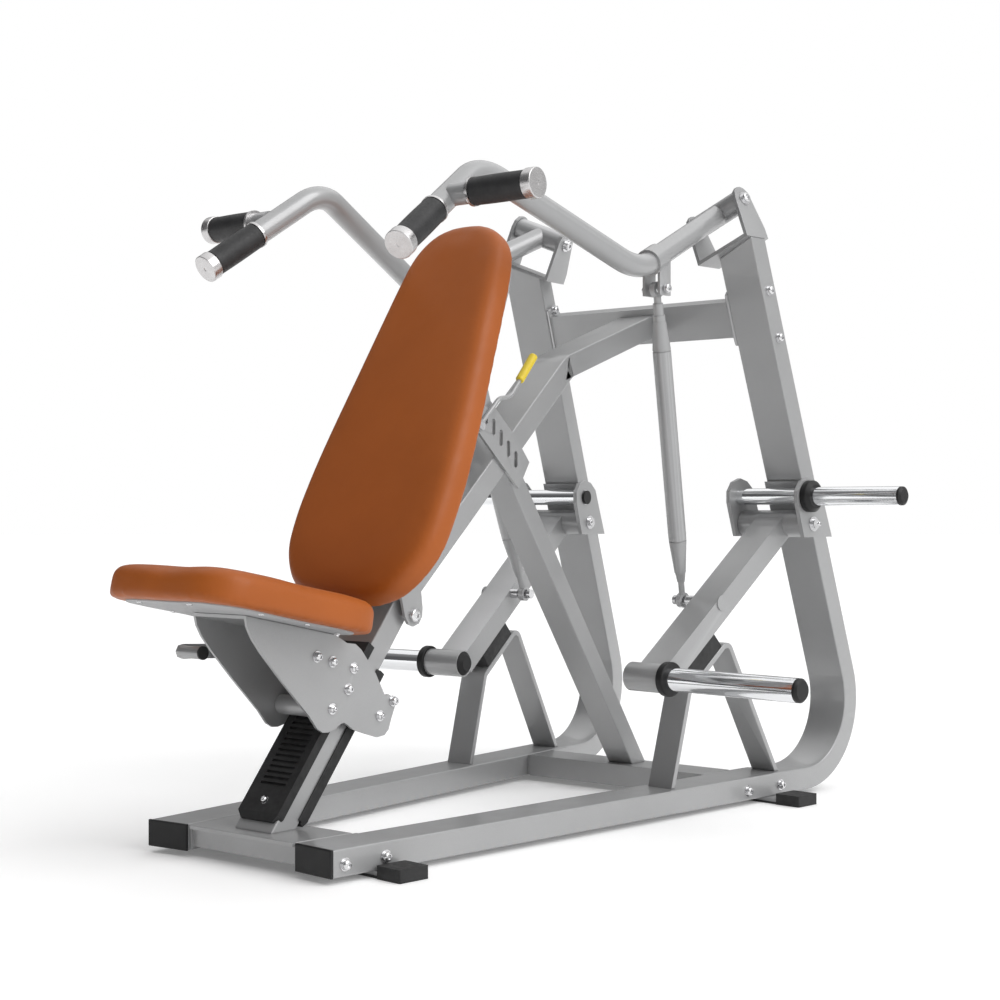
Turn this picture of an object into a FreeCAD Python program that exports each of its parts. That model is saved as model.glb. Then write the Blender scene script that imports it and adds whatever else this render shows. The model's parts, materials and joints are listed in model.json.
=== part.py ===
import FreeCAD, Part
import math
import os

from FreeCAD import Vector as V

# Plate-loaded chest press machine. Millimetres, +Z up, the user faces -Y, +X is the right side.
# Every piece is drawn with Y = 0 at the front ends of the floor rails, then moved back by MID_Y,
# so that the origin ends up at the centre of the footprint, on the floor.
MID_Y = 707.9

# Main frame
WALL = 3.0                 # wall of the big steel tubes
RAIL_W = 100.0             # rail and upright, across
RAIL_T = 50.0              # rail and upright, through
RAIL_BASE = 12.0           # height of the rail's underside above the floor
RAIL_X = 199.0             # rail centre line at the front end
SPLAY = 5.284              # outward splay of each side frame, degrees
BEND_U = 1420.0            # where the rail starts to bend up
BEND_R = 175.0             # bend radius on the centre line
LEAN = 19.5                # forward lean of the uprights from vertical, degrees
PLATE = 8.0                # welded plates

# Seat post and spine, centre line in the middle plane
POST = [(63.9, 62.0), (407.0, 493.3), (935.9, 978.4), (1290.0, 1103.8)]
POST_ANGLE = 51.5          # slope of the lower post from horizontal, degrees
POST_TOE = (32.0, 62.0)    # front lower corner of the post

# Press arm pivot
PRESS_C = V(258.0, 1224.0, 1332.0)
PRESS_TILT = 21.5          # outer end of the pivot is higher, degrees
PRESS_W = 150.0            # bracket width
PRESS_H = 96.0             # pivot height over the bracket's base

# Weight arm pivot, in a side frame's own axes: u along, w outward, z up
PIVOT_U = 1369.6
PIVOT_Z = 626.5
FORK_W = 202.0
HORN_U = 908.0
HORN_Z = 301.5
HORN_R = 25.0
HORN_START = 68.2          # the plate's stop face
HORN_END = 401.0
PEG_R = 21.0
PEG_START = 123.0
PEG_END = 352.0
SOCKET_R = 24.0            # horn inside its socket
PEG_ROD_R = 19.0           # storage peg inside the fork
BALL_U = 1115.0
BALL_Z = 456.0
BALL_W = -73.0
ARM_TOP = (1367.3, 629.8)  # weight arm bar, centre line
ARM_FOOT = (917.4, 288.2)
ARM_HALF = 25.0            # half its depth

# Link between the arms
EYE_TOP = V(290.0, 928.0, 1131.0)
BALL_R = 11.0

# Press arm centre line
ARM_R = 24.2
ARM_PATH = [PRESS_C, V(306.0, 835.0, 1161.0), V(218.0, 424.0, 1331.0), V(264.0, 147.0, 1142.0)]
GRIP_ROOT = V(240.0, 309.0, 1256.0)
GRIP_TIP = V(446.0, 322.0, 1258.0)

# Seat carriage
SEAT_SLOPE = -0.207
GUSSET_X = 66.0
GUSSET_T = 6.0
ROLLER_R = 19.6
REAR_ROLLER_R = 22.0
FRONT_GUARD = 11.0
REAR_GUARD = 14.0

# Backrest
HINGE = V(0.0, 400.0, 449.0)
BACK_OFFSET = 99.0         # hinge line to the back of the cushion
BACK_ANGLE = 63.43         # slope of the backrest from horizontal, degrees
LATCH_R = 470.0

X = V(1, 0, 0)
Y = V(0, 1, 0)
Z = V(0, 0, 1)
O = V(0, 0, 0)


def sind(a):
    return math.sin(math.radians(a))


def cosd(a):
    return math.cos(math.radians(a))


def box(x0, x1, y0, y1, z0, z1):
    return Part.makeBox(x1 - x0, y1 - y0, z1 - z0, V(x0, y0, z0))


def cyl(start, direction, r, h):
    return Part.makeCylinder(r, h, start, direction)


def rod(a, b, r):
    return Part.makeCylinder(r, (b - a).Length, a, b - a)


def prism(points, x0, x1):
    """Polygon of (y, z) points carried from x0 to x1."""
    loop = [V(x0, p[0], p[1]) for p in points]
    return Part.Face(Part.makePolygon(loop + [loop[0]])).extrude(V(x1 - x0, 0, 0))


def fuse(shapes):
    whole = shapes[0].multiFuse(shapes[1:]) if len(shapes) > 1 else shapes[0]
    return whole.removeSplitter()


def unit(v):
    w = V(v)
    w.normalize()
    return w


def bar(a, b, half_x, half_t):
    """Straight bar between two (y, z) points."""
    d = unit(V(0, b[0] - a[0], b[1] - a[1]))
    n = V(0, -d.z, d.y) * half_t
    corners = [(a[0] + n.y, a[1] + n.z), (b[0] + n.y, b[1] + n.z),
               (b[0] - n.y, b[1] - n.z), (a[0] - n.y, a[1] - n.z)]
    return prism(corners, -half_x, half_x)


def bent_bar(points, radius, half_x, half_t):
    """Flat-section bar in the YZ plane with round bends at its inner points."""
    pts = [V(0, p[0], p[1]) for p in points]
    pieces = []
    start = pts[0]
    for i in range(1, len(pts) - 1):
        into = unit(pts[i] - pts[i - 1])
        out = unit(pts[i + 1] - pts[i])
        turn = into.getAngle(out)
        back = radius * math.tan(turn / 2)
        a = pts[i] - into * back
        sign = 1.0 if into.cross(out).x > 0 else -1.0
        side = X.cross(into) * sign
        centre = a + side * radius
        pieces.append(bar((start.y, start.z), (a.y, a.z), half_x, half_t))
        q = [a + side * half_t - X * half_x, a - side * half_t - X * half_x,
             a - side * half_t + X * half_x, a + side * half_t + X * half_x]
        face = Part.Face(Part.makePolygon(q + [q[0]]))
        pieces.append(face.revolve(centre, X * sign, math.degrees(turn)))
        start = pts[i] + out * back
    pieces.append(bar((start.y, start.z), (pts[-1].y, pts[-1].z), half_x, half_t))
    return fuse(pieces)


def pipe(points, radii, r):
    """Round bar along a path in space with round bends."""
    edges = []
    start = points[0]
    for i in range(1, len(points) - 1):
        into = unit(points[i] - points[i - 1])
        out = unit(points[i + 1] - points[i])
        turn = into.getAngle(out)
        back = radii[i - 1] * math.tan(turn / 2)
        a = points[i] - into * back
        c = points[i] + out * back
        to_centre = unit(out - into)
        mid = points[i] + to_centre * (radii[i - 1] / math.cos(turn / 2) - radii[i - 1])
        edges.append(Part.makeLine(start, a))
        edges.append(Part.Arc(a, mid, c).toShape())
        start = c
    edges.append(Part.makeLine(start, points[-1]))
    ring = Part.Wire(Part.makeCircle(r, points[0], points[1] - points[0]))
    return Part.Wire(edges).makePipeShell([ring], True, False)


def placed(shape):
    """From a side frame's own axes (w, u, z) to the machine, right-hand side."""
    s = shape.copy()
    s.rotate(O, Z, -SPLAY)
    s.translate(V(RAIL_X, 0, 0))
    return s


def side_point(w, u, z):
    c = cosd(SPLAY)
    s = sind(SPLAY)
    return V(RAIL_X + w * c + u * s, u * c - w * s, z)


def mirrored(shape):
    return shape.mirror(O, X)


def both(shape):
    return Part.makeCompound([shape, mirrored(shape)])


def save(name, shape):
    s = shape.copy()
    s.translate(V(0, -MID_Y, 0))
    s.exportStep("parts/" + name + ".step")


def save_pair(name, shape):
    save(name + "_r", shape)
    save(name + "_l", mirrored(shape))


# ---- frame ----

def upright_point(z, across=0.0):
    """Point (u, z) on the upright's centre line at a height, moved forward by `across`."""
    top_u = BEND_U + BEND_R * cosd(LEAN)
    top_z = RAIL_BASE + RAIL_T / 2 + BEND_R + BEND_R * sind(LEAN)
    return (top_u - (z - top_z) * math.tan(math.radians(LEAN)) - across, z)


def side_frame():
    mid_z = RAIL_BASE + RAIL_T / 2
    corner = BEND_U + BEND_R * math.tan(math.radians((90 + LEAN) / 2))
    end = upright_point(1400.0)
    path = [(0.0, mid_z), (corner, mid_z), end]
    outer = bent_bar(path, BEND_R, RAIL_W / 2, RAIL_T / 2)
    inner = bent_bar([(-1.0, mid_z), path[1], path[2]], BEND_R, RAIL_W / 2 - WALL, RAIL_T / 2 - WALL)
    shape = placed(outer.cut(inner))
    a, up, f = press_axes()
    under = PRESS_C - up * PRESS_H
    keep_out = Part.makeBox(600, 600, 400, V(-300, -300, 0))
    keep_out.Placement = FreeCAD.Placement(under, FreeCAD.Rotation(a, f, up, "ZXY"))
    return shape.cut(keep_out)


def rail_cap():
    z0 = RAIL_BASE
    plate = box(-50.5, 50.5, -7.0, -0.0, z0 - 0.5, z0 + 50.5)
    plate = plate.makeFillet(3.0, [e for e in plate.Edges if e.BoundBox.YMax < -6.5])
    plug = box(-46.9, 46.9, -0.5, 20.0, z0 + 3.1, z0 + 46.9)
    core = box(-43.9, 43.9, 3.0, 21.0, z0 + 6.1, z0 + 43.9)
    return placed(plate.fuse(plug.cut(core)))


def between_frames(shape, inset):
    """Trim a cross piece to the splayed planes of the two side frames."""
    w0 = -RAIL_W / 2 - inset
    block = placed(box(w0, w0 + 900, -400, 2000, -50, 1500))
    return shape.cut(block).cut(mirrored(block))


def end_plate(u0, u1, z0, z1):
    """Plate on the inner face of a side frame."""
    w0 = -RAIL_W / 2 - PLATE
    return placed(box(w0, w0 + PLATE, u0, u1, z0, z1))


def front_tie():
    top = RAIL_BASE + RAIL_T
    sheet = between_frames(box(-300, 300, 0, 139, top - PLATE, top), PLATE)
    ribs = [between_frames(box(-300, 300, y, y + 6, RAIL_BASE + 8, top - PLATE), PLATE) for y in (12, 121)]
    ends = end_plate(2, 145, RAIL_BASE + 2, top - 1)
    return fuse([sheet] + ribs + [ends, mirrored(ends)])


def rear_tie():
    y0 = 1164.0
    y1 = 1264.0
    z0 = RAIL_BASE
    z1 = RAIL_BASE + RAIL_T
    outer = between_frames(box(-400, 400, y0, y1, z0, z1), PLATE)
    inner = between_frames(box(-400, 400, y0 + WALL, y1 - WALL, z0 + WALL, z1 - WALL), PLATE)
    ends = end_plate(1166, 1334, z0 + 1, z1 - 1)
    return fuse([outer.cut(inner), ends, mirrored(ends)])


def spine():
    outer = bent_bar([(POST[0][0] - 60, POST[0][1] - 75.4)] + POST[1:], 60.0, 50, 25)
    inner = bent_bar([(POST[0][0] - 120, POST[0][1] - 150.8)] + POST[1:], 60.0, 47, 22)
    shape = outer.cut(inner)
    floor = box(-200, 200, -300, 400, -300, RAIL_BASE + RAIL_T)
    return shape.cut(floor).cut(beam_solid(0.0, 400.0))


def beam_solid(grow, half_x):
    u, z = upright_point(1102.0)
    d = V(0, -sind(LEAN), cosd(LEAN))
    a = (u + d.y * (43 + grow), z + d.z * (43 + grow))
    b = (u - d.y * (43 + grow), z - d.z * (43 + grow))
    return bar(b, a, half_x, 20 + grow)


def top_beam():
    shell = beam_solid(0.0, 400.0).cut(beam_solid(-WALL, 500.0))
    shell = between_frames(shell, PLATE)
    d = V(0, -sind(LEAN), cosd(LEAN))
    u, z = upright_point(1102.0)
    plate = bar((u - d.y * 62, z - d.z * 62), (u + d.y * 62, z + d.z * 62), PLATE / 2, 24.5)
    plate.translate(V(-RAIL_W / 2 - PLATE / 2, 0, 0))
    plate = placed(plate)
    return fuse([shell, plate, mirrored(plate)])


def brace():
    foot = (1222.0, RAIL_BASE + RAIL_T)
    head = (745.0, 755.0)
    d = unit(V(0, head[0] - foot[0], head[1] - foot[1]))
    low = (foot[0] - d.y * 60, foot[1] - d.z * 60)
    high = (head[0] + d.y * 60, head[1] + d.z * 60)
    shape = bar(low, high, 35, 22.5).cut(bar(low, high, 32, 19.5))
    shape = shape.cut(box(-60, 60, 1000, 1500, -100, RAIL_BASE + RAIL_T))
    return shape.cut(bent_bar([POST[0]] + POST[1:], 60.0, 60, 25)).cut(above_spine())


def above_spine():
    """Everything on the upper side of the spine's straight middle."""
    a = V(0, POST[1][0], POST[1][1])
    b = V(0, POST[2][0], POST[2][1])
    d = unit(b - a)
    n = V(0, -d.z, d.y)
    p = [a + n * 10, b + n * 10, b + n * 300, a + n * 300]
    return prism([(q.y, q.z) for q in p], -100, 100)


def foot_plate(u0, w1):
    return placed(box(-84, w1, u0, u0 + 60, 4.0, RAIL_BASE))


def foot_rubber(u0, w1):
    sleeve = box(w1 - 58, w1 + 6, u0 - 5, u0 + 65, 0.0, 24.0)
    sleeve = sleeve.makeFillet(4.0, [e for e in sleeve.Edges if e.BoundBox.ZLength > 20])
    strip = box(-90, w1 - 58, u0 - 2, u0 + 62, 0.0, 4.0)
    slot = box(-200, w1, u0, u0 + 60, 4.0, RAIL_BASE)
    heel = box(-90, -62, u0 - 2, u0 + 62, 0.0, RAIL_BASE)
    return placed(fuse([sleeve, strip, heel]).cut(slot))


def feet():
    return [(97.0, 116.0), (1257.0, 139.0)]


def stop_frame():
    """Bent flat bar on the rail, shaped like an A, that carries the weight arm's rubber stop."""
    line = [(949.0, 45.0), (1012.4, 266.1), (1145.7, 367.3), (1333.0, 45.0)]
    strip = bent_bar(line, 18.0, 33, 6)
    return placed(strip.cut(box(-60, 60, 800, 1500, -50, RAIL_BASE + RAIL_T)))


def on_arm(s, t):
    """Point (y, z): s down the weight arm's centre line and t above it."""
    d = unit(V(0, ARM_FOOT[0] - ARM_TOP[0], ARM_FOOT[1] - ARM_TOP[1]))
    return (ARM_TOP[0] + d.y * s + d.z * t, ARM_TOP[1] + d.z * s - d.y * t)


def bumper():
    """Rubber block that the weight arm rests on, 0.4 mm clear of it."""
    top = -ARM_HALF - 0.4
    outline = [on_arm(482, top), on_arm(363, top), on_arm(358, -69), on_arm(482, -69)]
    return placed(prism(outline, -32, 32))


def fork():
    """Bracket on the front of the upright: two long ears and a web."""
    hw = FORK_W / 2
    low_front = (PIVOT_U - 34, PIVOT_Z - 30)
    low_rear = (PIVOT_U + 74, PIVOT_Z - 30)
    peg = V(0, PIVOT_U - 17.9, PIVOT_Z + 62.6)
    ear = [low_front, low_rear, (peg.y + 48, peg.z + 18), (peg.y + 26, peg.z + 36), (peg.y, peg.z + 43),
           (peg.y - 26, peg.z + 34), (peg.y - 42, peg.z + 12), (peg.y - 42, peg.z - 14)]
    shapes = [prism(ear, x0, x0 + 10) for x0 in (-hw, hw - 10)]
    u0, z0 = upright_point(PIVOT_Z - 28, RAIL_T / 2 / cosd(LEAN))
    u1, z1 = upright_point(PIVOT_Z + 24, RAIL_T / 2 / cosd(LEAN))
    low = [(u0, z0), (u1, z1), (u1 - 12, z1), (u0 - 12, z0)]
    shapes.append(prism(low, -hw + 5, hw - 5))
    u2, z2 = upright_point(PIVOT_Z + 98, RAIL_T / 2 / cosd(LEAN))
    tall = [(u0, z0), (u2, z2), (u2 - 9, z2), (u0 - 9, z0)]
    shapes.append(prism(tall, -50, 50))
    body = fuse(shapes)
    pin_hole = cyl(V(-hw - 5, PIVOT_U, PIVOT_Z), X, 12.0, FORK_W + 10)
    peg_hole = cyl(V(-hw - 5, peg.y, peg.z), X, PEG_ROD_R, FORK_W + 10)
    return placed(body.cut(pin_hole).cut(peg_hole))


def lower_pin():
    """Pin and domed heads of the weight arm's pivot."""
    hw = FORK_W / 2
    pin = cyl(V(-hw - 2, PIVOT_U, PIVOT_Z), X, 12.0, FORK_W + 4)
    heads = [cyl(V(hw, PIVOT_U, PIVOT_Z), X, 17.0, 3.0), cyl(V(hw + 3, PIVOT_U, PIVOT_Z), X, 11.0, 7.0),
             cyl(V(-hw - 3, PIVOT_U, PIVOT_Z), X, 17.0, 3.0), cyl(V(-hw - 10, PIVOT_U, PIVOT_Z), X, 11.0, 7.0)]
    return placed(fuse([pin] + heads))


def storage_peg():
    """Plate storage peg: a rod through the fork and a thicker sleeve outside it."""
    hw = FORK_W / 2
    y = PIVOT_U - 17.9
    z = PIVOT_Z + 62.6
    inner = cyl(V(-hw, y, z), X, PEG_ROD_R, FORK_W + 30)
    outer = cyl(V(PEG_START, y, z), X, PEG_R, PEG_END - PEG_START - 8)
    return placed(inner.fuse(outer).removeSplitter())


def peg_trim():
    """Black collar and end plugs of the storage peg."""
    hw = FORK_W / 2
    y = PIVOT_U - 17.9
    z = PIVOT_Z + 62.6
    collar = cyl(V(hw, y, z), X, 36.0, 14.0).fuse(Part.makeCone(36.0, 27.0, 8.0, V(hw + 14, y, z), X))
    collar = collar.cut(cyl(V(hw - 1, y, z), X, PEG_ROD_R, 30))
    plug = cyl(V(PEG_END - 8, y, z), X, PEG_R - 0.3, 5.0)
    plug = plug.fuse(Part.makeCone(PEG_R - 0.3, PEG_R - 6, 4.0, V(PEG_END - 3, y, z), X))
    inner = cyl(V(-hw - 6, y, z), X, 17.0, 6.0)
    return placed(Part.makeCompound([collar.removeSplitter(), plug.removeSplitter(), inner]))


def press_axes():
    """Pivot axis, its upward normal and the rearward direction, for the right press arm."""
    n = V(cosd(SPLAY), -sind(SPLAY), 0)
    f = V(sind(SPLAY), cosd(SPLAY), 0)
    a = n * cosd(PRESS_TILT) + Z * sind(PRESS_TILT)
    up = Z * cosd(PRESS_TILT) - n * sind(PRESS_TILT)
    return a, up, f


def press_placed(shape):
    """From the bracket's own axes (across, back, up) at the pivot to the machine."""
    a, up, f = press_axes()
    s = shape.copy()
    s.Placement = FreeCAD.Placement(PRESS_C, FreeCAD.Rotation(a, f, up, "XZY"))
    return s


def top_bracket():
    hw = PRESS_W / 2
    base = box(-hw, hw, -34, 44, -PRESS_H, -PRESS_H + 8)
    ear = [(-34, -PRESS_H), (44, -PRESS_H), (44, -PRESS_H + 26), (24, 18), (12, 28), (0, 31), (-14, 28),
           (-26, 17), (-31, 0)]
    ears = [prism(ear, -hw, -hw + 8), prism(ear, hw - 8, hw)]
    body = fuse([base] + ears)
    return press_placed(body.cut(cyl(V(-hw - 5, 0, 0), X, 11.0, PRESS_W + 10)))


def top_pin():
    hw = PRESS_W / 2
    pin = cyl(V(-hw - 2, 0, 0), X, 11.0, PRESS_W + 4)
    heads = [cyl(V(hw, 0, 0), X, 16.0, 3.0), cyl(V(hw + 3, 0, 0), X, 11.0, 6.0),
             cyl(V(-hw - 3, 0, 0), X, 16.0, 3.0), cyl(V(-hw - 9, 0, 0), X, 11.0, 6.0)]
    return press_placed(fuse([pin] + heads))


def bolt(p, d, r=9.0, h=7.0):
    """Domed screw head on a washer; `d` points away from the surface."""
    d = unit(d)
    washer = cyl(p, d, r * 1.35, 2.0)
    head = cyl(p + d * 2.0, d, r, h - 3.0)
    dome = Part.makeCone(r, r * 0.6, 2.5, p + d * (h - 1.0), d)
    return fuse([washer, head, dome])


def frame_bolts():
    out = V(cosd(SPLAY), -sind(SPLAY), 0)
    h = RAIL_W / 2
    spots = [(27, 34), (122, 35), (1193, 33), (1314, 34)]
    items = [bolt(side_point(h, u, z), out) for u, z in spots]
    items += [bolt(side_point(-h - PLATE, u, z), out * -1.0) for u, z in ((37, 34), (1300, 36))]
    for dz in (-52.0, 52.0):
        u, z = upright_point(1102.0 + dz)
        items.append(bolt(side_point(h, u, z), out))
        items.append(bolt(side_point(-h - PLATE, u, z), out * -1.0))
    return Part.makeCompound([both(Part.makeCompound(items)), guard_screw()])


# ---- seat post guards ----

def post_axes():
    d = V(0, cosd(POST_ANGLE), sind(POST_ANGLE))
    n = V(0, sind(POST_ANGLE), -cosd(POST_ANGLE))
    return d, n


def on_post(s, t):
    """Point (y, z) at s along the post and t behind its front face."""
    d, n = post_axes()
    return (POST_TOE[0] + d.y * s + n.y * t, POST_TOE[1] + d.z * s + n.z * t)


def front_guard():
    g = FRONT_GUARD
    outline = [on_post(22, -0.2), on_post(425, -0.2), on_post(425, -g), on_post(36, -g), on_post(22, -g + 5)]
    shape = prism(outline, -54, 54)
    lips = [prism([on_post(26, -0.2), on_post(425, -0.2), on_post(425, 8), on_post(30, 8)], x, x + 3.7)
            for x in (-54, 50.3)]
    shape = fuse([shape] + lips)
    for i in range(24):
        s = 94 + i * 12.2
        groove = prism([on_post(s, -g + 4), on_post(s + 6, -g + 4), on_post(s + 6, -g - 5), on_post(s, -g - 5)],
                       -34, 34)
        shape = shape.cut(groove)
    for x in (-54, 54):
        t = 13 if x > 0 else -13
        p = [on_post(20, 9), on_post(20, -g - 1), on_post(36, -g - 1), on_post(36, 9)]
        wedge = Part.makePolygon([V(x - t, p[0][0], p[0][1]), V(x + t * 0.1, p[0][0], p[0][1]),
                                  V(x + t * 0.1, p[3][0], p[3][1]), V(x - t, p[0][0], p[0][1])])
        d, n = post_axes()
        shape = shape.cut(Part.Face(wedge).extrude(n * -(g + 12)))
    hole = cyl(V(0, *on_post(62, -g + 4)), V(0, 0, 0) - post_axes()[1], 9.0, 10)
    return shape.cut(hole)


def rear_guard():
    g = REAR_GUARD
    outline = [on_post(52, 50), on_post(400, 50), on_post(400, 50 + g), on_post(62, 50 + g), on_post(50, 50 + g - 6)]
    shape = prism(outline, -54, 54)
    lips = [prism([on_post(56, 50), on_post(398, 50), on_post(398, 42), on_post(56, 42)], x, x + 3.7)
            for x in (-54, 50.3)]
    return fuse([shape] + lips)


def guard_screw():
    n = post_axes()[1]
    p = V(0, *on_post(62, -FRONT_GUARD + 4))
    return bolt(p, V(0, 0, 0) - n, 6.0, 6.0)


# ---- seat carriage ----

def gusset_outline():
    return [(-51, 469.6), (-45, 446), (-33, 425), (-12, 399), (41, 342), (108, 275), (130, 248), (144, 240),
            (158, 239), (176, 243), (192, 252), (201, 254), (212, 247), (225, 238), (262, 226), (292, 217),
            (312, 219), (324, 229), (332, 250), (343, 274), (338, 290), (324, 298), (313, 298), (287, 343),
            (248, 390), (232, 402), (209, 405), (178, 422.2)]


def carriage():
    """Two gussets joined by the seat plate and the roller axles."""
    shapes = []
    for s in (-1, 1):
        x0 = GUSSET_X if s > 0 else -GUSSET_X - GUSSET_T
        shapes.append(prism(gusset_outline(), x0, x0 + GUSSET_T))
    top = [(-51, 469.6), (178, 422.2), (178, 416.0), (-50, 463.2)]
    shapes.append(prism(top, -GUSSET_X, GUSSET_X))
    body = fuse(shapes)
    for p, r in roller_spots():
        body = body.cut(cyl(V(-100, p[0], p[1]), X, 8.0, 200))
    return body.cut(cyl(V(-100, 128.0, 384.0), X, 6.0, 60))


def roller_spots():
    front = FRONT_GUARD + 0.4 + ROLLER_R
    rear = 50 + REAR_GUARD + 0.4 + REAR_ROLLER_R
    d, n = post_axes()
    low = along_post(168, 283)
    high = along_post(228, 355)
    back = along_post(299, 258)
    return [(on_post(low, -front), ROLLER_R), (on_post(high, -front), ROLLER_R), (on_post(back, rear), REAR_ROLLER_R)]


def along_post(y, z):
    d, n = post_axes()
    return (y - POST_TOE[0]) * d.y + (z - POST_TOE[1]) * d.z


def roller(i):
    p, r = roller_spots()[i]
    body = cyl(V(-GUSSET_X + 1.0, p[0], p[1]), X, r, 2 * GUSSET_X - 2.0)
    body = body.makeFillet(1.5, [e for e in body.Edges if e.Length > 60 and len(e.Vertexes) < 2])
    return body.cut(cyl(V(-GUSSET_X, p[0], p[1]), X, 8.05, 2 * GUSSET_X))


def seat_bolts():
    """Axles of the rollers and the screws of the gussets."""
    items = []
    for p, r in roller_spots():
        x1 = GUSSET_X + GUSSET_T
        axle = cyl(V(-x1, p[0], p[1]), X, 8.0, 2 * x1)
        heads = [bolt(V(s * x1, p[0], p[1]), X * s, 8.0, 7.0) for s in (-1, 1)]
        items.append(fuse([axle] + heads))
    for y, z in ((128, 384), (169, 372), (211, 317), (336, 284)):
        items.append(bolt(V(GUSSET_X + GUSSET_T, y, z), X, 8.0, 7.0))
        if (y, z) != (128, 384):
            items.append(bolt(V(-GUSSET_X - GUSSET_T, y, z), X * -1.0, 8.0, 7.0))
    return Part.makeCompound(items + [lever_pin()])


def rounded_slab(outline_x, t, r_edge):
    """Cushion: closed smooth outline in XY, thickness t up from z = 0, edges rounded."""
    curve = Part.BSplineCurve()
    curve.interpolate([V(x, y, 0) for x, y in outline_x], PeriodicFlag=True)
    face = Part.Face(Part.Wire(curve.toShape()))
    slab = face.extrude(V(0, 0, t))
    rims = [e for e in slab.Edges if abs(e.BoundBox.ZLength) < 0.1]
    top = [e for e in rims if e.BoundBox.ZMin > t / 2]
    low = [e for e in rims if e.BoundBox.ZMax < t / 2]
    slab = slab.makeFillet(r_edge, top)
    low = [e for e in slab.Edges if abs(e.BoundBox.ZLength) < 0.1 and e.BoundBox.ZMax < 0.5]
    return slab.makeFillet(r_edge * 0.35, low)


def seat_pad():
    half = [(0, -206), (80, -205), (128, -196), (160, -168), (172, -120), (175, -40), (176, 60), (174, 130),
            (160, 176), (120, 201), (62, 209)]
    outline = half + [(0, 211)] + [(-x, y) for x, y in reversed(half[1:])]
    slab = rounded_slab(outline, 68.0, 24.0)
    slab.rotate(O, X, math.degrees(math.atan(SEAT_SLOPE)))
    slab.translate(V(0, 0, 459.6))
    return slab


def lever_arm():
    """Seat height lever: hub on the left gusset, flat arm and round handle."""
    x0 = -GUSSET_X - GUSSET_T
    y, z = 128.0, 384.0
    hub = cyl(V(x0 - 0.4, y, z), X * -1.0, 13.0, 92.0)
    arm = prism([(y - 8, z - 14), (y + 10, z - 10), (y + 13, z + 4), (y + 6, z + 13), (y - 8, z + 14),
                 (4, 404), (-8, 402), (-14, 391), (-10, 380), (0, 376)], x0 - 92.4, x0 - 86.4)
    handle = cyl(V(x0 - 90, -2.0, 390.0), X, 12.0, 60.0)
    body = fuse([hub, arm, handle])
    return body.cut(cyl(V(x0 + 1, y, z), X * -1.0, 6.05, 100.0))


def lever_pin():
    x0 = -GUSSET_X - GUSSET_T
    pin = cyl(V(x0 + GUSSET_T, 128.0, 384.0), X * -1.0, 6.0, GUSSET_T + 93.2)
    head = cyl(V(x0 - 92.8, 128.0, 384.0), X * -1.0, 11.0, 5.0)
    return pin.fuse(head).removeSplitter()


def lever_plug():
    x0 = -GUSSET_X - GUSSET_T
    return cyl(V(x0 - 30, -2.0, 390.0), X, 12.8, 4.0)


# ---- backrest ----

def back_axes():
    d = V(0, cosd(BACK_ANGLE), sind(BACK_ANGLE))
    n = V(0, sind(BACK_ANGLE), -cosd(BACK_ANGLE))
    return d, n


def on_back(s, t):
    """Point (y, z): s up from the hinge along the backrest and t behind the hinge line."""
    d, n = back_axes()
    return (HINGE.y + d.y * s + n.y * t, HINGE.z + d.z * s + n.z * t)


def back_pad():
    half = [(0, 0), (66, 3), (117, 20), (158, 60), (183, 112), (191, 170), (191, 230), (184, 330), (171, 440),
            (155, 560), (140, 670), (129, 740), (110, 804), (70, 848)]
    outline = half + [(0, 864)] + [(-x, y) for x, y in reversed(half[1:])]
    slab = rounded_slab(outline, 62.0, 24.0)
    d, n = back_axes()
    slab.rotate(O, X, BACK_ANGLE)
    y, z = on_back(-31.0, -BACK_OFFSET)
    slab.translate(V(0, y, z))
    return slab


def back_frame():
    """Backing plate and two long side arms that straddle the spine."""
    front = -BACK_OFFSET + 0.4
    plate = prism([on_back(42, front), on_back(640, front), on_back(640, front + 6), on_back(42, front + 6)],
                  -72, 72)
    side = [on_back(42, front + 3), on_back(590, front + 3), on_back(590, front + 20), on_back(500, 16),
            on_back(470, 26), on_back(440, 16), on_back(392, -40), on_back(110, -40), on_back(24, 18),
            on_back(8, 24), on_back(-8, 22), on_back(-20, 10), on_back(-22, -6), on_back(-12, -22),
            on_back(30, -60)]
    shapes = [plate]
    for x0 in (-69.0, 62.0):
        shapes.append(prism(side, x0, x0 + 7.0))
    body = fuse(shapes)
    body = body.cut(cyl(V(-90, HINGE.y, HINGE.z), X, 8.06, 180))
    body = body.cut(cyl(V(50, *on_back(430, 0)), X, 5.0, 40))
    for y in (180, 600):
        for x in (-40, 40):
            p = V(x, *on_back(y, front - 6))
            body = body.cut(cyl(p, back_axes()[1], 4.5, 20))
    return body


def hinge_pin():
    """Backrest hinge: a pin through the spine with a boss on each side."""
    pin = cyl(V(-71, HINGE.y, HINGE.z), X, 8.0, 142)
    bosses = [cyl(V(50, HINGE.y, HINGE.z), X, 14.0, 11.6), cyl(V(-61.6, HINGE.y, HINGE.z), X, 14.0, 11.6)]
    heads = [cyl(V(69.4, HINGE.y, HINGE.z), X, 13.0, 6.0), cyl(V(-75.4, HINGE.y, HINGE.z), X, 13.0, 6.0)]
    body = fuse([pin] + heads + bosses)
    return body.cut(bent_bar(POST, 60.0, 50, 25))


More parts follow.
